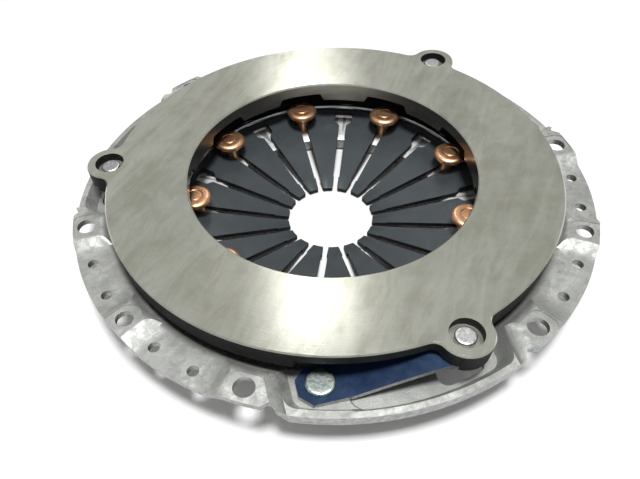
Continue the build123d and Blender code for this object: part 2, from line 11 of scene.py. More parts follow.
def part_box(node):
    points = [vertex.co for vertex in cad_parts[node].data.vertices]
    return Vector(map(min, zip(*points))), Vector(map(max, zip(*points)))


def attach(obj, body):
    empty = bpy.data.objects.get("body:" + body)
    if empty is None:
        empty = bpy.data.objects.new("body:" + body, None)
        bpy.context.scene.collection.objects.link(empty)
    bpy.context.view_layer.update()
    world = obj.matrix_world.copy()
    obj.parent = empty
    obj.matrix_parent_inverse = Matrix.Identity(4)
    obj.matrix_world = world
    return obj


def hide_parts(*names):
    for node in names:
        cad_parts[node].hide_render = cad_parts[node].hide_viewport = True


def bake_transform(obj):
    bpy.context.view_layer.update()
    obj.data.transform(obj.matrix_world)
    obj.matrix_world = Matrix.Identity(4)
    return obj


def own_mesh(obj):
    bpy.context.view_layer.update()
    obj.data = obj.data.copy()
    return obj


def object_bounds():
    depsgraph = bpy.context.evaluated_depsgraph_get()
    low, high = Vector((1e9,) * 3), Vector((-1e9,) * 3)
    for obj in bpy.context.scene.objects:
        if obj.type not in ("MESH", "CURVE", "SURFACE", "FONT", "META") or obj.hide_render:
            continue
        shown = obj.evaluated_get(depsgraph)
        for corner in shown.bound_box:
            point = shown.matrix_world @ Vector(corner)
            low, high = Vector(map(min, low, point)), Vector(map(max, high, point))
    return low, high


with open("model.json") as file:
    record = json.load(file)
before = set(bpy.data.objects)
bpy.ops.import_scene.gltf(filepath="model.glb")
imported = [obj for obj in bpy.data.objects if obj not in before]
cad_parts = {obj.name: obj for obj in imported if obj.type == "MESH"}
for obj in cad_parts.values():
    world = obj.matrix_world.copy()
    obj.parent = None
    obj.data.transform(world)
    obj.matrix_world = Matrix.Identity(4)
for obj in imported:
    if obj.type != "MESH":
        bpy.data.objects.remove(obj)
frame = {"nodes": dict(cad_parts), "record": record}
cad_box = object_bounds()
cad_nodes = frame["nodes"]

ROOT = "cover_body"
RING = "ring_body"

# The photograph, in pixels, and its camera, in units of the fit
PHOTO_WIDTH = 640
PHOTO_FOCAL = 526.8
PHOTO_CENTRE = (-16.74, 105.7)
CAMERA_ELEVATION = radians(56.88)
CAMERA_ROLL = radians(-3.38)
CAMERA_TURN = radians(-9.49)
CAMERA_DISTANCE = 276.9
CAMERA_SLIDE = (-20.21, -93.1)
CAMERA_UNIT = 0.0009153
SENSOR = 36.0
CLIP_START = 0.01

# Places and sizes on the object
FRICTION_Z = 0.0103
FRICTION_DEPTH = 0.001
PIVOT_R = 0.077
BORE_R = 0.0694
BORE_MARGIN = 0.0003
LUG_BORE_R = 0.0072
DISH_R = 0.076
POCKET_R = 0.1
POCKET_Z = -0.004
SPRING_SECTORS = 18
FIRST_SECTOR = radians(-30)
STRAP_HOLE_R = 0.0045
COVER_EASING = 0.00035
RING_EASING = 0.00025

# Heights on the rivets, in mm above the end of the tail, and the room left round each
FULCRUM_SEAT = 5.05
FULCRUM_TAIL = 2.0
STRAP_TAIL = 2.2
RIVET_ROOM = 0.02

# How upright a face's normal is, to tell one kind of face from another
SHEARED_NORMAL_Z = 0.2
MACHINED_NORMAL_Z = 0.3
SLOT_NORMAL_Z = 0.35
LEAF_EDGE_NORMAL_Z = 0.4
FLOOR_NORMAL_Z = 0.9

# Looks that the faces of a piece choose among by material_index
COVER_LOOKS = ("pressed_steel", "sheared_edge", "dish_painted_light", "edge_painted_highlight", "pocket_steel")
RING_LOOKS = ("machined_iron", "cast_iron", "bore_painted_shade", "edge_painted_highlight")
LEAF_LOOKS = ("blued_steel", "cut_edge")
SPRING_LOOKS = ("spring_steel", "slot_wall_painted_shade")

# Meshing
SMOOTH_ANGLE = radians(33)
CAD_MERGE = 2e-6
SPIN_MERGE = 1e-6
PIN_STEPS = 64
WIRE_STEPS = 180
WIRE_SIDES = 20

# Stage: lights as place, size and power
GROUND_HALF_WIDTH = 4.0
GROUND_GAP = 0.0002
WORLD_STRENGTH = 0.3
WINDOW = ((0.203, 1.02, 1.0), (0.172, 0.87), 2.17)
OVERHEAD = ((0.0, -0.2, 1.4), (0.35, 0.35), 20)


# Shared shader node groups


def group_socket(tree, name, kind, way, default=None):
    """A named input or output on a node group."""
    socket = tree.interface.new_socket(name=name, in_out=way, socket_type="NodeSocket" + kind)
    if default is not None:
        socket.default_value = default


def math_node(tree, operation, *values):
    """A Math node on up to three values, each a number or a socket."""
    node = tree.nodes.new("ShaderNodeMath")
    node.operation = operation
    for index, value in enumerate(values):
        if isinstance(value, (int, float)):
            node.inputs[index].default_value = value
        else:
            tree.links.new(value, node.inputs[index])
    return node.outputs[0]


def noise_value(tree, vector, scale, detail, roughness, distortion=0.0):
    """The value of a noise texture, whose scale is a socket."""
    node = tree.nodes.new("ShaderNodeTexNoise")
    node.inputs["Detail"].default_value = detail
    node.inputs["Roughness"].default_value = roughness
    node.inputs["Distortion"].default_value = distortion
    tree.links.new(scale, node.inputs["Scale"])
    tree.links.new(vector, node.inputs["Vector"])
    return node.outputs["Fac"]


def remap(tree, value, low, high, out_low=0.0, out_high=1.0):
    """Value between low and high brought to another range, smoothly."""
    node = tree.nodes.new("ShaderNodeMapRange")
    node.interpolation_type = "SMOOTHSTEP"
    tree.links.new(value, node.inputs["Value"])
    node.inputs["From Min"].default_value = low
    node.inputs["From Max"].default_value = high
    node.inputs["To Min"].default_value = out_low
    node.inputs["To Max"].default_value = out_high
    return node.outputs["Result"]


def mix_colour(tree, factor, first, second):
    """Mix of two colours, each four numbers or a socket, by a factor that is a socket."""
    node = tree.nodes.new("ShaderNodeMix")
    node.data_type = "RGBA"
    tree.links.new(factor, node.inputs["Factor"])
    for name, value in (("A", first), ("B", second)):
        socket = [s for s in node.inputs if s.name == name and s.type == "RGBA"][0]
        if isinstance(value, (tuple, list)):
            socket.default_value = value
        else:
            tree.links.new(value, socket)
    return [s for s in node.outputs if s.type == "RGBA"][0]


def along(tree, vector, slant, length, width):
    """Coordinates stretched along a slant in the XY plane."""
    mapping = tree.nodes.new("ShaderNodeMapping")
    mapping.vector_type = "TEXTURE"
    mapping.inputs["Rotation"].default_value = (0.0, 0.0, slant)
    mapping.inputs["Scale"].default_value = (length, width, 1.0)
    tree.links.new(vector, mapping.inputs["Vector"])
    return mapping.outputs[0]


def make_turned_marks():
    """Fine marks that run round the axis, as a lathe or a face grinder leaves them."""
    tree = bpy.data.node_groups.new("turned_marks", "ShaderNodeTree")
    group_socket(tree, "Vector", "Vector", "INPUT")
    group_socket(tree, "Lines per metre", "Float", "INPUT", 900.0)
    group_socket(tree, "Fine", "Float", "OUTPUT")
    start = tree.nodes.new("NodeGroupInput")
    end = tree.nodes.new("NodeGroupOutput")
    split = tree.nodes.new("ShaderNodeSeparateXYZ")
    tree.links.new(start.outputs["Vector"], split.inputs[0])
    x_squared = math_node(tree, "POWER", split.outputs["X"], 2.0)
    y_squared = math_node(tree, "POWER", split.outputs["Y"], 2.0)
    radius = math_node(tree, "SQRT", math_node(tree, "ADD", x_squared, y_squared))
    angle = math_node(tree, "ARCTAN2", split.outputs["Y"], split.outputs["X"])
    ring = tree.nodes.new("ShaderNodeCombineXYZ")
    tree.links.new(radius, ring.inputs["X"])
    tree.links.new(math_node(tree, "MULTIPLY", angle, 0.004), ring.inputs["Y"])
    tree.links.new(split.outputs["Z"], ring.inputs["Z"])
    fine = noise_value(tree, ring.outputs[0], start.outputs["Lines per metre"], 6.0, 0.65)
    tree.links.new(fine, end.inputs["Fine"])
    return tree


def make_blotches():
    """Soft stains of two sizes, the thin line round each large one, and a fine grain."""
    tree = bpy.data.node_groups.new("blotches", "ShaderNodeTree")
    group_socket(tree, "Vector", "Vector", "INPUT")
    group_socket(tree, "Large scale", "Float", "INPUT", 30.0)
    group_socket(tree, "Small scale", "Float", "INPUT", 160.0)
    group_socket(tree, "Grain scale", "Float", "INPUT", 2500.0)
    group_socket(tree, "Large", "Float", "OUTPUT")
    group_socket(tree, "Outline", "Float", "OUTPUT")
    group_socket(tree, "Small", "Float", "OUTPUT")
    group_socket(tree, "Grain", "Float", "OUTPUT")
    start = tree.nodes.new("NodeGroupInput")
    end = tree.nodes.new("NodeGroupOutput")
    vector = start.outputs["Vector"]
    large = noise_value(tree, vector, start.outputs["Large scale"], 5.0, 0.6, 0.6)
    small = noise_value(tree, vector, start.outputs["Small scale"], 6.0, 0.62, 0.3)
    grain = noise_value(tree, vector, start.outputs["Grain scale"], 3.0, 0.6)
    tree.links.new(remap(tree, large, 0.35, 0.68), end.inputs["Large"])
    from_border = math_node(tree, "ABSOLUTE", math_node(tree, "SUBTRACT", large, 0.56))
    tree.links.new(remap(tree, from_border, 0.0, 0.012, 1.0, 0.0), end.inputs["Outline"])
    tree.links.new(remap(tree, small, 0.36, 0.66), end.inputs["Small"])
    tree.links.new(remap(tree, grain, 0.3, 0.7), end.inputs["Grain"])
    return tree


def make_scratches():
    """Long thin scratches at two slants, and broad smears along the first."""
    tree = bpy.data.node_groups.new("scratches", "ShaderNodeTree")
    group_socket(tree, "Vector", "Vector", "INPUT")
    group_socket(tree, "Scale", "Float", "INPUT", 60.0)
    group_socket(tree, "Mask", "Float", "OUTPUT")
    group_socket(tree, "Smears", "Float", "OUTPUT")
    start = tree.nodes.new("NodeGroupInput")
    end = tree.nodes.new("NodeGroupOutput")
    masks = []
    for slant, length, low in ((0.2, 20.0, 0.665), (1.3, 14.0, 0.68)):
        stretched = along(tree, start.outputs["Vector"], slant, length, 0.6)
        lines = noise_value(tree, stretched, start.outputs["Scale"], 8.0, 0.75, 0.1)
        masks.append(remap(tree, lines, low, low + 0.03))
    tree.links.new(math_node(tree, "MAXIMUM", *masks), end.inputs["Mask"])
    stretched = along(tree, start.outputs["Vector"], 0.95, 5.0, 1.2)
    smears = noise_value(tree, stretched, start.outputs["Scale"], 7.0, 0.62, 1.1)
    tree.links.new(remap(tree, smears, 0.42, 0.6), end.inputs["Smears"])
    return tree


TURNED = make_turned_marks()
BLOTCHES = make_blotches()
SCRATCHES = make_scratches()


class Finish:
    """A material under construction: a Principled surface that reads object coordinates."""

    def __init__(self, name, colour, metallic, roughness):
        self.material = bpy.data.materials.new(name)
        self.material.use_nodes = True
        self.tree = self.material.node_tree
        self.shader = self.tree.nodes["Principled BSDF"]
        self.shader.inputs["Base Color"].default_value = colour
        self.shader.inputs["Metallic"].default_value = metallic
        self.shader.inputs["Roughness"].default_value = roughness
        place = self.tree.nodes.new("ShaderNodeTexCoord")
        self.vector = place.outputs["Object"]

    def effect(self, group, **numbers):
        """Places a shared effect, with its own numbers."""
        node = self.tree.nodes.new("ShaderNodeGroup")
        node.node_tree = group
        self.tree.links.new(self.vector, node.inputs["Vector"])
        for name, number in numbers.items():
            node.inputs[name.replace("_", " ")].default_value = number
        return node.outputs

    def set(self, name, socket):
        """Feeds one of the shader's own sockets."""
        self.tree.links.new(socket, self.shader.inputs[name])

    def tint(self, base, mask, amount, colour):
        """Lays a colour over the base where the mask is, up to an amount."""
        return mix_colour(self.tree, math_node(self.tree, "MULTIPLY", mask, amount), base, colour)

    def roughen(self, mask, least, extra):
        """Feeds the roughness: the least, and some extra where the mask is."""
        self.set("Roughness", math_node(self.tree, "MULTIPLY_ADD", mask, extra, least))

    def relief(self, height, strength, distance):
        """Adds relief, on top of what is already there."""
        bump = self.tree.nodes.new("ShaderNodeBump")
        bump.inputs["Strength"].default_value = strength
        bump.inputs["Distance"].default_value = distance
        self.tree.links.new(height, bump.inputs["Height"])
        linked = self.shader.inputs["Normal"].links
        if linked:
            self.tree.links.new(linked[0].from_socket, bump.inputs["Normal"])
        self.tree.links.new(bump.outputs["Normal"], self.shader.inputs["Normal"])


def grey(value, warmth=0.0):
    """A grey, a little warm or cool."""
    return (value * (1 + warmth), value, value * (1 - warmth), 1.0)


def pressed_steel():
    """Bare pressed sheet: satin, stained and finely grained."""
    finish = Finish("pressed_steel", grey(0.45), 0.62, 0.5)
    tree = finish.tree
    spots = finish.effect(BLOTCHES, Large_scale=48.0, Small_scale=230.0, Grain_scale=3000.0)
    base = mix_colour(tree, spots["Large"], (0.50, 0.51, 0.48, 1.0), (0.76, 0.77, 0.73, 1.0))
    base = finish.tint(base, spots["Small"], 0.6, (0.25, 0.26, 0.24, 1.0))
    base = finish.tint(base, spots["Outline"], 0.35, grey(0.14))
    base = finish.tint(base, spots["Grain"], 0.3, grey(0.25))
    scratch = finish.effect(SCRATCHES, Scale=75.0)
    base = finish.tint(base, scratch["Smears"], 0.25, (0.22, 0.23, 0.21, 1.0))
    base = finish.tint(base, scratch["Mask"], 0.4, grey(0.8))
    finish.set("Base Color", base)
    finish.roughen(spots["Small"], 0.42, 0.16)
    finish.relief(spots["Small"], 0.15, 0.0004)
    finish.relief(spots["Grain"], 0.25, 0.0001)
    return finish.material


def machined_iron():
    """Cast iron, turned and ground, with faint smears of oil."""
    finish = Finish("machined_iron", grey(0.45), 0.7, 0.18)
    tree = finish.tree
    turned = finish.effect(TURNED, Lines_per_metre=2600.0)
    spots = finish.effect(BLOTCHES, Large_scale=16.0, Small_scale=70.0, Grain_scale=2400.0)
    wiped = finish.effect(SCRATCHES, Scale=32.0)
    brushed = finish.effect(SCRATCHES, Scale=170.0)
    base = mix_colour(tree, turned["Fine"], (0.50, 0.505, 0.43, 1.0), (0.70, 0.705, 0.605, 1.0))
    base = finish.tint(base, wiped["Smears"], 0.55, (0.36, 0.36, 0.29, 1.0))
    base = finish.tint(base, brushed["Smears"], 0.35, (0.36, 0.36, 0.29, 1.0))
    base = finish.tint(base, spots["Small"], 0.25, (0.78, 0.79, 0.71, 1.0))
    finish.set("Base Color", base)
    finish.roughen(wiped["Smears"], 0.125, 0.05)
    finish.relief(turned["Fine"], 0.25, 0.00015)
    finish.relief(spots["Grain"], 0.1, 0.00005)
    return finish.material


def bore_painted_shade():
    """The ring's bore, turned, in a darker copy of the machined iron: painted shade."""
    finish = Finish("bore_painted_shade", grey(0.25), 0.95, 0.24)
    turned = finish.effect(TURNED, Lines_per_metre=2200.0)
    dark, light = (0.19, 0.18, 0.155, 1.0), (0.34, 0.32, 0.28, 1.0)
    finish.set("Base Color", mix_colour(finish.tree, turned["Fine"], dark, light))
    finish.relief(turned["Fine"], 0.2, 0.00012)
    return finish.material


def cast_iron():
    """Cast iron skin, pebbled and nearly black: the casting's dark skin, and painted shade on the
    ring's outer side and on the walls of the lug bores.
    """
    finish = Finish("cast_iron", grey(0.05), 0.2, 0.65)
    finish.shader.inputs["Specular IOR Level"].default_value = 0.25
    tree = finish.tree
    spots = finish.effect(BLOTCHES, Large_scale=60.0, Small_scale=500.0, Grain_scale=2200.0)
    dark, light = (0.005, 0.007, 0.007, 1.0), (0.016, 0.018, 0.017, 1.0)
    base = mix_colour(tree, spots["Large"], dark, light)
    base = finish.tint(base, spots["Small"], 0.3, grey(0.03, 0.03))
    finish.set("Base Color", base)
    finish.relief(spots["Grain"], 0.5, 0.0002)
    finish.relief(spots["Small"], 0.3, 0.0003)
    return finish.material


def spring_steel():
    """Dark phosphated spring steel."""
    finish = Finish("spring_steel", (0.05, 0.058, 0.064, 1.0), 0.3, 0.45)
    finish.shader.inputs["Specular IOR Level"].default_value = 0.3
    tree = finish.tree
    spots = finish.effect(BLOTCHES, Large_scale=40.0, Small_scale=300.0, Grain_scale=4000.0)
    base = mix_colour(tree, spots["Large"], (0.046, 0.054, 0.060, 1.0), (0.056, 0.066, 0.073, 1.0))
    scratch = finish.effect(SCRATCHES, Scale=90.0)
    base = finish.tint(base, scratch["Mask"], 0.05, grey(0.25))
    finish.set("Base Color", base)
    finish.roughen(spots["Small"], 0.38, 0.08)
    finish.relief(spots["Grain"], 0.15, 0.00006)
    return finish.material


def copper_plate():
    """Thin copper plate, smooth and a little dulled."""
    finish = Finish("copper_plate", (0.62, 0.33, 0.20, 1.0), 0.95, 0.28)
    tree = finish.tree
    spots = finish.effect(BLOTCHES, Large_scale=170.0, Small_scale=600.0, Grain_scale=5000.0)
    base = mix_colour(tree, spots["Large"], (0.80, 0.42, 0.22, 1.0), (0.95, 0.60, 0.38, 1.0))
    base = finish.tint(base, spots["Small"], 0.3, (0.40, 0.19, 0.10, 1.0))
    finish.set("Base Color", base)
    finish.roughen(spots["Small"], 0.32, 0.12)
    finish.relief(spots["Small"], 0.05, 0.00003)
    return finish.material


def blued_steel():
    """Tempered strip, blued deep, with fine scratches."""
    finish = Finish("blued_steel", (0.015, 0.035, 0.085, 1.0), 0.4, 0.38)
    tree = finish.tree
    spots = finish.effect(BLOTCHES, Large_scale=70.0, Small_scale=400.0, Grain_scale=4000.0)
    base = mix_colour(tree, spots["Large"], (0.008, 0.027, 0.076, 1.0), (0.016, 0.042, 0.105, 1.0))
    scratch = finish.effect(SCRATCHES, Scale=130.0)
    base = finish.tint(base, scratch["Mask"], 0.5, (0.16, 0.22, 0.32, 1.0))
    finish.set("Base Color", base)
    finish.roughen(spots["Small"], 0.34, 0.1)
    return finish.material


def cut_edge():
    """Sheared edges of the leaves, bare and bright."""
    finish = Finish("cut_edge", grey(0.6), 1.0, 0.35)
    spots = finish.effect(BLOTCHES, Large_scale=200.0, Small_scale=900.0, Grain_scale=6000.0)
    finish.set("Base Color", mix_colour(finish.tree, spots["Small"], grey(0.28), grey(0.5)))
    return finish.material


def sheared_edge():
    """Sheared edge of the cover's sheet."""
    finish = Finish("sheared_edge", grey(0.4), 0.8, 0.4)
    spots = finish.effect(BLOTCHES, Large_scale=120.0, Small_scale=420.0, Grain_scale=7000.0)
    finish.set("Base Color", mix_colour(finish.tree, spots["Small"], grey(0.27), grey(0.44)))
    return finish.material


def edge_painted_highlight():
    """A bright strip for the roundings of the edges, convex and concave alike: painted highlight.
    """
    finish = Finish("edge_painted_highlight", grey(0.8), 1.0, 0.3)
    spots = finish.effect(BLOTCHES, Large_scale=90.0, Small_scale=700.0, Grain_scale=5000.0)
    finish.set("Base Color", mix_colour(finish.tree, spots["Small"], grey(0.9), grey(0.55)))
    return finish.material


def dish_painted_light():
    """The inner part of the cover, which the spring shelters, painted lighter and more diffuse
    than the rest of the sheet: painted light.
    """
    finish = Finish("dish_painted_light", grey(0.8), 0.35, 0.35)
    spots = finish.effect(BLOTCHES, Large_scale=90.0, Small_scale=500.0, Grain_scale=5000.0)
    finish.set("Base Color", mix_colour(finish.tree, spots["Small"], grey(0.7), grey(0.92)))
    return finish.material


def slot_wall_painted_shade():
    """Cut sides of the spring's slots, painted dull and nearly black: painted shade."""
    finish = Finish("slot_wall_painted_shade", grey(0.01), 0.0, 0.6)
    finish.shader.inputs["Specular IOR Level"].default_value = 0.15
    spots = finish.effect(BLOTCHES, Large_scale=90.0, Small_scale=500.0, Grain_scale=5000.0)
    finish.set("Base Color", mix_colour(finish.tree, spots["Small"], grey(0.006), grey(0.014)))
    return finish.material


def rivet_steel():
    """Plain headed steel, grained."""
    finish = Finish("rivet_steel", grey(0.55), 1.0, 0.36)
    tree = finish.tree
    spots = finish.effect(BLOTCHES, Large_scale=150.0, Small_scale=900.0, Grain_scale=6000.0)
    base = mix_colour(tree, spots["Small"], grey(0.62), grey(0.92))
    finish.set("Base Color", base)
    finish.relief(spots["Small"], 0.25, 0.0001)
    return finish.material


def zinc_plate():
    """Zinc plated rivet head, a little green."""
    finish = Finish("zinc_plate", (0.5, 0.56, 0.53, 1.0), 1.0, 0.36)
    spots = finish.effect(BLOTCHES, Large_scale=150.0, Small_scale=700.0, Grain_scale=6000.0)
    dark, light = (0.38, 0.45, 0.43, 1.0), (0.66, 0.73, 0.69, 1.0)
    finish.set("Base Color", mix_colour(finish.tree, spots["Small"], dark, light))
    finish.relief(spots["Small"], 0.25, 0.0001)
    return finish.material


def pocket_steel():
    """Floors of the strap pockets, sandy and a little darker than the rest of the sheet."""
    finish = Finish("pocket_steel", grey(0.4), 0.6, 0.5)
    tree = finish.tree
    spots = finish.effect(BLOTCHES, Large_scale=60.0, Small_scale=600.0, Grain_scale=2200.0)
    base = mix_colour(tree, spots["Large"], (0.36, 0.37, 0.35, 1.0), (0.50, 0.51, 0.48, 1.0))
    base = finish.tint(base, spots["Grain"], 0.5, grey(0.22))
    finish.set("Base Color", base)
    finish.relief(spots["Grain"], 0.35, 0.0001)
    return finish.material


def bright_wire():
    """Drawn wire."""
    finish = Finish("bright_wire", grey(0.7), 1.0, 0.26)
    tree = finish.tree
    spots = finish.effect(BLOTCHES, Large_scale=90.0, Small_scale=500.0, Grain_scale=5000.0)
    finish.set("Base Color", mix_colour(tree, spots["Large"], grey(0.6), grey(0.85)))
    return finish.material


def floor_paint():
    """Plain pale ground."""
    return Finish("pale_ground", grey(0.9), 0.0, 0.7).material


LOOKS = {
    "pressed_steel": pressed_steel(),
    "machined_iron": machined_iron(),
    "spring_steel": spring_steel(),
    "copper_plate": copper_plate(),
    "cast_iron": cast_iron(),
    "bore_painted_shade": bore_painted_shade(),
    "blued_steel": blued_steel(),
    "cut_edge": cut_edge(),
    "sheared_edge": sheared_edge(),
    "edge_painted_highlight": edge_painted_highlight(),
    "dish_painted_light": dish_painted_light(),
    "slot_wall_painted_shade": slot_wall_painted_shade(),
    "rivet_steel": rivet_steel(),
    "zinc_plate": zinc_plate(),
    "pocket_steel": pocket_steel(),
    "wire": bright_wire(),
}


node_looks = {entry["node"]: entry["material_slot"] for entry in frame["record"]["subparts"]}
for name, obj in cad_nodes.items():
    obj.data.materials.clear()
    obj.data.materials.append(LOOKS[node_looks[name]])


# Making pieces


def merged(node):
    """The mesh of a CAD node as one closed skin."""
    mesh = bmesh.new()
    mesh.from_mesh(cad_nodes[node].data)
    bmesh.ops.remove_doubles(mesh, verts=mesh.verts, dist=CAD_MERGE)
    return mesh


def finish_piece(name, mesh, node, body=None, looks=()):
    """Turns a mesh into the object that stands for a CAD node, smooth up to SMOOTH_ANGLE.
    Its faces choose among the looks by their material_index."""
    for face in mesh.faces:
        face.smooth = True
    for edge in mesh.edges:
        edge.smooth = edge.is_manifold and edge.calc_face_angle(pi) < SMOOTH_ANGLE
    data = bpy.data.meshes.new(name)
    mesh.to_mesh(data)
    mesh.free()
    obj = bpy.data.objects.new(name, data)
    bpy.context.scene.collection.objects.link(obj)
    for look in looks or [node_looks[node]]:
        data.materials.append(LOOKS[look])
    if body:
        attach(obj, body)
    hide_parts(node)
    return obj


def soften(obj, width, look):
    """Rounds the edges a little, gives the roundings one of the looks, a painted highlight, and
    keeps the flats flat.
    """
    bevel = obj.modifiers.new("edge_round", "BEVEL")
    bevel.width = width
    bevel.segments = 2
    bevel.material = look
    bevel.limit_method = "ANGLE"
    bevel.angle_limit = SMOOTH_ANGLE
    bevel.use_clamp_overlap = True
    weights = obj.modifiers.new("flat_normals", "WEIGHTED_NORMAL")
    weights.keep_sharp = True


def middle_of(node):
    """Centre of a node's box."""
    low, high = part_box(node)
    return (low + high) / 2


def turn_round(mesh, steps):
    """Turns a profile about the vertical axis into a closed skin."""
    bmesh.ops.spin(
        mesh,
        geom=mesh.verts[:] + mesh.edges[:],
        cent=(0, 0, 0),
        axis=(0, 0, 1),
        dvec=(0, 0, 0),
        angle=2 * pi,
        steps=steps,
        use_merge=True,
    )
    bmesh.ops.remove_doubles(mesh, verts=mesh.verts, dist=SPIN_MERGE)
    bmesh.ops.recalc_face_normals(mesh, faces=mesh.faces)


def spun(profile, centre):
    """A turned skin at a centre, from corners of (radius, height, rounding) in mm."""
    mesh = bmesh.new()
    corners = [mesh.verts.new((radius / 1000, 0, height / 1000)) for radius, height, _ in profile]
    for first, second in zip(corners, corners[1:]):
        mesh.edges.new((first, second))
    for corner, (_, _, rounding) in zip(corners, profile):
        if rounding:
            bmesh.ops.bevel(
                mesh,
                geom=[corner],
                offset=rounding / 1000,
                offset_type="OFFSET",
                segments=5,
                profile=0.5,
                affect="VERTICES",
                material=-1,
            )
    turn_round(mesh, PIN_STEPS)
    bmesh.ops.translate(mesh, verts=mesh.verts, vec=centre)
    return mesh


def make_cover():
    """The pressed cover, with its edges eased under a painted highlight, its sheared edges bright
    and its dish painted lighter as painted light.
    """
    mesh = merged("cover")
    for face in mesh.faces:
        place = face.calc_center_median()
        in_pocket = place.z < POCKET_Z and place.xy.length > POCKET_R
        look = "pressed_steel"
        if abs(face.normal.z) < SHEARED_NORMAL_Z:
            look = "sheared_edge"
        # Upward faces of the dish take a lighter copy of the sheet as painted light.
        elif face.normal.z > 0 and place.xy.length < DISH_R:
            look = "dish_painted_light"
        elif face.normal.z > FLOOR_NORMAL_Z and in_pocket:
            look = "pocket_steel"
        face.material_index = COVER_LOOKS.index(look)
    obj = finish_piece("cover_sheet", mesh, "cover", ROOT, COVER_LOOKS)
    # The eased edges of the cover take a painted highlight.
    soften(obj, COVER_EASING, COVER_LOOKS.index("edge_painted_highlight"))


def make_ring():
    """The pressure ring: faces that were machined are bright, its bore a darker copy as painted
    shade, and the rest, the walls of the lug bores too, nearly black as cast and as painted shade.
    """
    mesh = merged("pressure_ring")
    lugs = [middle_of(f"lug_strap_rivet_{number}") for number in (1, 2, 3)]
    for face in mesh.faces:
        place = face.calc_center_median()
        in_lug = min((place.xy - lug.xy).length for lug in lugs) < LUG_BORE_R
        # Faces as cast, and the walls of the lug bores, are nearly black: partly the casting's
        # skin, partly painted shade.
        look = "cast_iron"
        if face.normal.z > MACHINED_NORMAL_Z and (in_lug or place.z > FRICTION_Z - FRICTION_DEPTH):
            look = "machined_iron"
        # The bore takes a darker copy of the machined look as painted shade.
        elif place.xy.length < BORE_R + BORE_MARGIN:
            look = "bore_painted_shade"
        face.material_index = RING_LOOKS.index(look)
    obj = finish_piece("ring_casting", mesh, "pressure_ring", RING, RING_LOOKS)
    # The eased edges of the ring take a painted highlight.
    soften(obj, RING_EASING, RING_LOOKS.index("edge_painted_highlight"))


def make_wires():
    """Both pivot rings, round in section."""
    for node in ("front_pivot_ring", "rear_pivot_ring"):
        low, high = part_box(node)
        wire_radius = (high.z - low.z) / 2
        mesh = bmesh.new()
        bmesh.ops.create_circle(mesh, cap_ends=False, segments=WIRE_SIDES, radius=wire_radius)
        upright = Matrix.Rotation(pi / 2, 3, "X")
        bmesh.ops.rotate(mesh, verts=mesh.verts, cent=(0, 0, 0), matrix=upright)
        bmesh.ops.translate(mesh, verts=mesh.verts, vec=(PIVOT_R, 0, 0))
        turn_round(mesh, WIRE_STEPS)
        bmesh.ops.translate(mesh, verts=mesh.verts, vec=(0, 0, (low.z + high.z) / 2))
        finish_piece(node.replace("pivot_ring", "wire"), mesh, node, ROOT)


def make_fulcrum_rivets():
    """Nine headed pins. The head has a round rim and a shallow ring mark."""
    low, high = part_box("fulcrum_rivet_1")
    bottom = (low.z - high.z) * 1000
    back = bottom + FULCRUM_SEAT
    profile = [
        (0, -0.06, 0),
        (3.2, -0.03, 0.15),
        (3.45, -0.34, 0.08),
        (3.9, -0.34, 0.08),
        (4.15, -0.02, 0.2),
        (6.9, -0.08, 0.7),
        (8.15, -0.85, 0.5),
        (8.43, -2.1, 0.6),
        (7.5, -3.35, 0.6),
        (5.2, -3.6, 0.5),
        (3.9, -4.6, 0.8),
        (3.68, back, 0.1),
        (3.08, back, 0),
        (3.08, bottom + FULCRUM_TAIL, 0),
        (5.18, bottom + FULCRUM_TAIL, 0.2),
        (5.18, bottom + RIVET_ROOM, 0.9),
        (0, bottom + RIVET_ROOM, 0),
    ]
    for number in range(1, 10):
        node = f"fulcrum_rivet_{number}"
        middle = middle_of(node)
        mesh = spun(profile, (middle.x, middle.y, high.z))
        finish_piece(f"fulcrum_pin_{number}", mesh, node, ROOT)


def make_strap_rivets():
    """Rivets at both ends of each strap."""
    for number in (1, 2, 3):
        node = f"cover_strap_rivet_{number}"
        low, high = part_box(node)
        bottom = (low.z - high.z) * 1000
        head = [
            (0, -0.1, 0),
            (4.6, -0.04, 0.3),
            (5.9, -0.12, 0.5),
            (6.28, -0.75, 0.3),
            (6.28, -1.88, 0.1),
            (3.98, -1.9, 0),
            (3.98, bottom + STRAP_TAIL + RIVET_ROOM, 0),
            (4.88, bottom + STRAP_TAIL, 0.1),
            (4.88, bottom + RIVET_ROOM, 1.2),
            (0, bottom + RIVET_ROOM, 0),
        ]
        middle = (low + high) / 2
        mesh = spun(head, (middle.x, middle.y, high.z))
        finish_piece(f"cover_strap_pin_{number}", mesh, node, ROOT, ("zinc_plate",))
        node = f"lug_strap_rivet_{number}"
        low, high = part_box(node)
        bottom = (low.z - high.z) * 1000
        end = [
            (0, -0.12, 0),
            (3.2, -0.02, 0.5),
            (4.1, -0.1, 0.4),
            (4.48, -0.6, 0.3),
            (4.48, -2.38, 0.1),
            (3.98, -2.4, 0),
            (3.98, bottom + STRAP_TAIL + RIVET_ROOM, 0),
            (5.78, bottom + STRAP_TAIL, 0.1),
            (5.78, bottom + RIVET_ROOM, 1.2),
            (0, bottom + RIVET_ROOM, 0),
        ]
        middle = (low + high) / 2
        mesh = spun(end, (middle.x, middle.y, high.z))
        finish_piece(f"lug_strap_pin_{number}", mesh, node, RING)


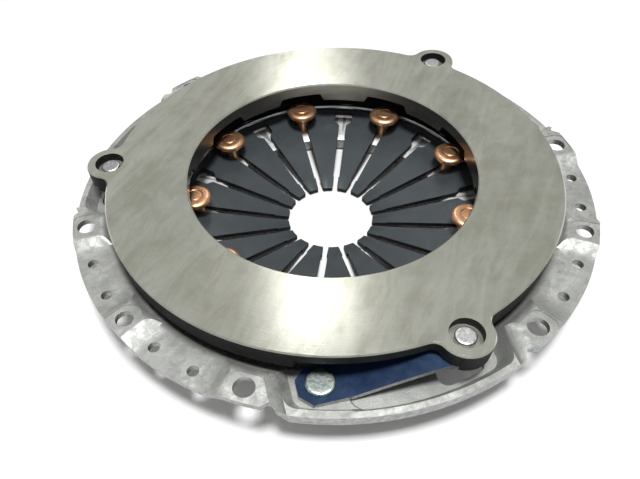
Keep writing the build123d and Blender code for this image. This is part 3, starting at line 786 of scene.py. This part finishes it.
def make_straps():
    """Leaf straps, which run between the cover's rivet and the lug's. Their edges are bright."""
    for group in (1, 2, 3):
        held = middle_of(f"cover_strap_rivet_{group}")
        moved = middle_of(f"lug_strap_rivet_{group}")
        for number in (1, 2, 3):
            node = f"strap_{group}_leaf_{number}"
            mesh = merged(node)
            for face in mesh.faces:
                place = face.calc_center_median()
                to_rivet = min((place.xy - held.xy).length, (place.xy - moved.xy).length)
                edge = abs(face.normal.z) < LEAF_EDGE_NORMAL_Z and to_rivet >= STRAP_HOLE_R
                face.material_index = LEAF_LOOKS.index("cut_edge" if edge else "blued_steel")
            obj = finish_piece(f"leaf_{group}_{number}", mesh, node, None, LEAF_LOOKS)
            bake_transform(obj)


def cut_away(mesh, point, normal):
    """Cuts a skin at a plane, drops what lies on the normal's side and closes the cut."""
    cut = bmesh.ops.bisect_plane(
        mesh,
        geom=mesh.verts[:] + mesh.edges[:] + mesh.faces[:],
        dist=1e-7,
        plane_co=point,
        plane_no=normal,
        clear_outer=True,
    )["geom_cut"]
    edges = [item for item in cut if isinstance(item, bmesh.types.BMEdge)]
    bmesh.ops.holes_fill(mesh, edges=edges, sides=0)


def spring_skin():
    """The spring's mesh, with the cut sides of its slots marked for their painted shade."""
    mesh = merged("diaphragm_spring")
    for face in mesh.faces:
        # The slots' cut sides are painted nearly black as painted shade.
        upright = abs(face.normal.z) < SLOT_NORMAL_Z
        face.material_index = SPRING_LOOKS.index("slot_wall_painted_shade" if upright else "spring_steel")
    return mesh


def make_spring():
    """The diaphragm spring: fingers inside the pivot, and rim sectors outside it, each its own
    piece.
    """
    fingers = spring_skin()
    step = 2 * pi / SPRING_SECTORS
    outwards = [
        Vector((cos(FIRST_SECTOR + step * count), sin(FIRST_SECTOR + step * count), 0))
        for count in range(SPRING_SECTORS)
    ]
    for outward in outwards:
        cut_away(fingers, outward * PIVOT_R, outward)
    obj = finish_piece("spring_fingers", fingers, "diaphragm_spring", ROOT, SPRING_LOOKS)
    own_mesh(obj)
    for count, outward in enumerate(outwards, start=1):
        rim = spring_skin()
        cut_away(rim, outward * PIVOT_R, -outward)
        for side in (-1, 1):
            edge = Matrix.Rotation(side * step / 2, 3, "Z") @ outward
            cut_away(rim, (0, 0, 0), Matrix.Rotation(side * pi / 2, 3, "Z") @ edge)
        obj = finish_piece(f"spring_rim_{count}", rim, "diaphragm_spring", None, SPRING_LOOKS)
        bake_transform(obj)


make_cover()
make_ring()
make_wires()
make_fulcrum_rivets()
make_strap_rivets()
make_straps()
make_spring()


# Ground, light and camera


def make_ground():
    """A wide pale ground just under the lowest point."""
    mesh = bmesh.new()
    bmesh.ops.create_grid(mesh, x_segments=1, y_segments=1, size=GROUND_HALF_WIDTH)
    lowest = cad_box[0][2] - GROUND_GAP
    bmesh.ops.translate(mesh, verts=mesh.verts, vec=(0, 0, lowest))
    data = bpy.data.meshes.new("ground")
    mesh.to_mesh(data)
    mesh.free()
    obj = bpy.data.objects.new("ground", data)
    bpy.context.scene.collection.objects.link(obj)
    data.materials.append(floor_paint())


def make_light(name, place, size, power):
    """A soft rectangular light aimed at the origin."""
    data = bpy.data.lights.new(name, "AREA")
    data.shape = "RECTANGLE"
    data.size, data.size_y = size
    data.energy = power
    obj = bpy.data.objects.new(name, data)
    obj.location = place
    obj.rotation_euler = (-Vector(place)).to_track_quat("-Z", "Y").to_euler()
    bpy.context.scene.collection.objects.link(obj)


def make_world():
    """Even grey surroundings and plain colours."""
    world = bpy.data.worlds.new("studio")
    world.use_nodes = True
    background = world.node_tree.nodes["Background"]
    background.inputs["Color"].default_value = (1.0, 1.0, 1.0, 1.0)
    background.inputs["Strength"].default_value = WORLD_STRENGTH
    bpy.context.scene.world = world
    bpy.context.scene.view_settings.view_transform = "Standard"


def make_camera():
    """The photograph's camera, from the fit of its bolt circle, ring and rivets."""
    right = Vector((1, 0, 0))
    back = Vector((0, -cos(CAMERA_ELEVATION), sin(CAMERA_ELEVATION)))
    up = Vector((0, sin(CAMERA_ELEVATION), cos(CAMERA_ELEVATION)))
    roll = -CAMERA_ROLL
    right_rolled = right * cos(roll) - up * sin(roll)
    up_rolled = right * sin(roll) + up * cos(roll)
    target = right * CAMERA_SLIDE[0] + up * CAMERA_SLIDE[1]
    place = (target + back * CAMERA_DISTANCE) * CAMERA_UNIT
    turn = Matrix.Rotation(CAMERA_TURN, 4, "Z")
    axes = Matrix((right_rolled, up_rolled, back)).transposed().to_4x4()
    data = bpy.data.cameras.new("photo_camera")
    data.sensor_width = SENSOR
    data.lens = PHOTO_FOCAL / PHOTO_WIDTH * SENSOR
    data.shift_x = -PHOTO_CENTRE[0] / PHOTO_WIDTH
    data.shift_y = PHOTO_CENTRE[1] / PHOTO_WIDTH
    data.clip_start = CLIP_START
    camera = bpy.data.objects.new("photo_camera", data)
    stand = Matrix.Translation((0, 0, FRICTION_Z)) @ turn @ Matrix.Translation(place)
    camera.matrix_world = stand @ axes
    bpy.context.scene.collection.objects.link(camera)
    bpy.context.scene.camera = camera


make_ground()
make_world()
make_light("window", *WINDOW)
make_light("overhead", *OVERHEAD)
make_camera()
